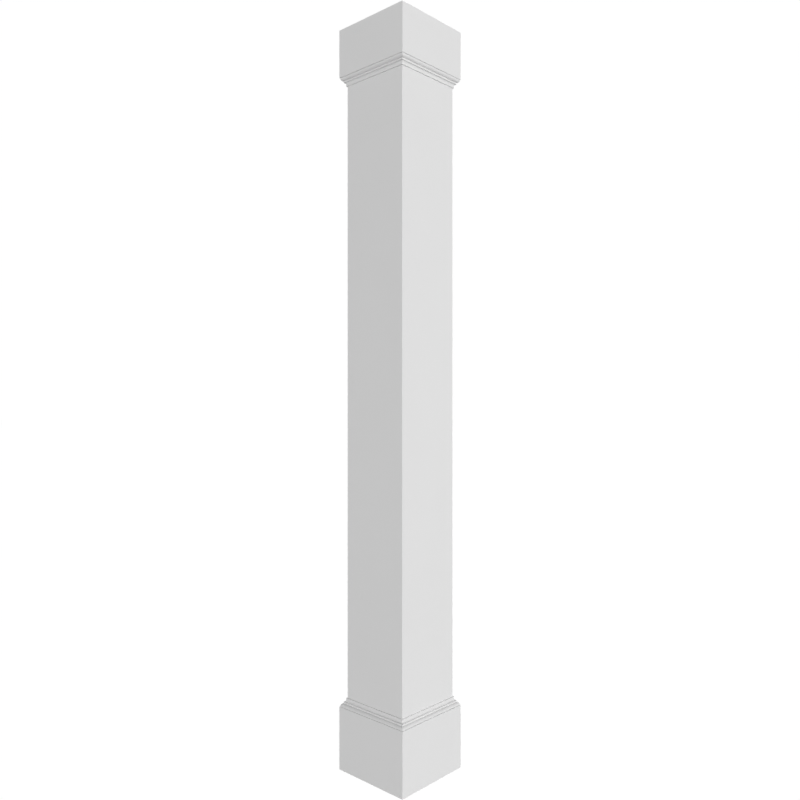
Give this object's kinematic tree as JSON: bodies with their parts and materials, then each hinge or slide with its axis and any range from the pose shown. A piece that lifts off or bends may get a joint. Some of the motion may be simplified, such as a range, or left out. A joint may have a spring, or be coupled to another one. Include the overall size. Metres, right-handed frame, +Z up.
{
  "type": "porch column wrap",
  "caption": "Square hollow porch column wrap: a plain shaft of lock-mitred panels between a boxed base and capital of flat boards, each trimmed with a small ovolo-and-cove moulding.",
  "frame": {"origin": "middle of the underside of the base, on the column's axis, where the wrap stands on the floor", "axes": "+Z up along the column's axis, -Y out of the front face, +X out of the right-hand face"},
  "size_m": [0.2842, 0.2842, 2.4384],
  "materials": {
    "shaft": "smooth satin off-white cellular PVC sheet",
    "board": "smooth satin off-white cellular PVC board, with matt sawn ends",
    "moulding": "smooth satin off-white extruded cellular PVC moulding"
  },
  "bodies": {
    "root": {"shaft_panel_front": "shaft", "shaft_panel_right": "shaft", "shaft_panel_back": "shaft", "shaft_panel_left": "shaft", "base_board_front": "board", "base_board_right": "board", "base_board_back": "board", "base_board_left": "board", "base_moulding_front": "moulding", "base_moulding_right": "moulding", "base_moulding_back": "moulding", "base_moulding_left": "moulding", "capital_moulding_front": "moulding", "capital_moulding_right": "moulding", "capital_moulding_back": "moulding", "capital_moulding_left": "moulding", "capital_board_front": "board", "capital_board_right": "board", "capital_board_back": "board", "capital_board_left": "board"}
  },
  "joints": []
}
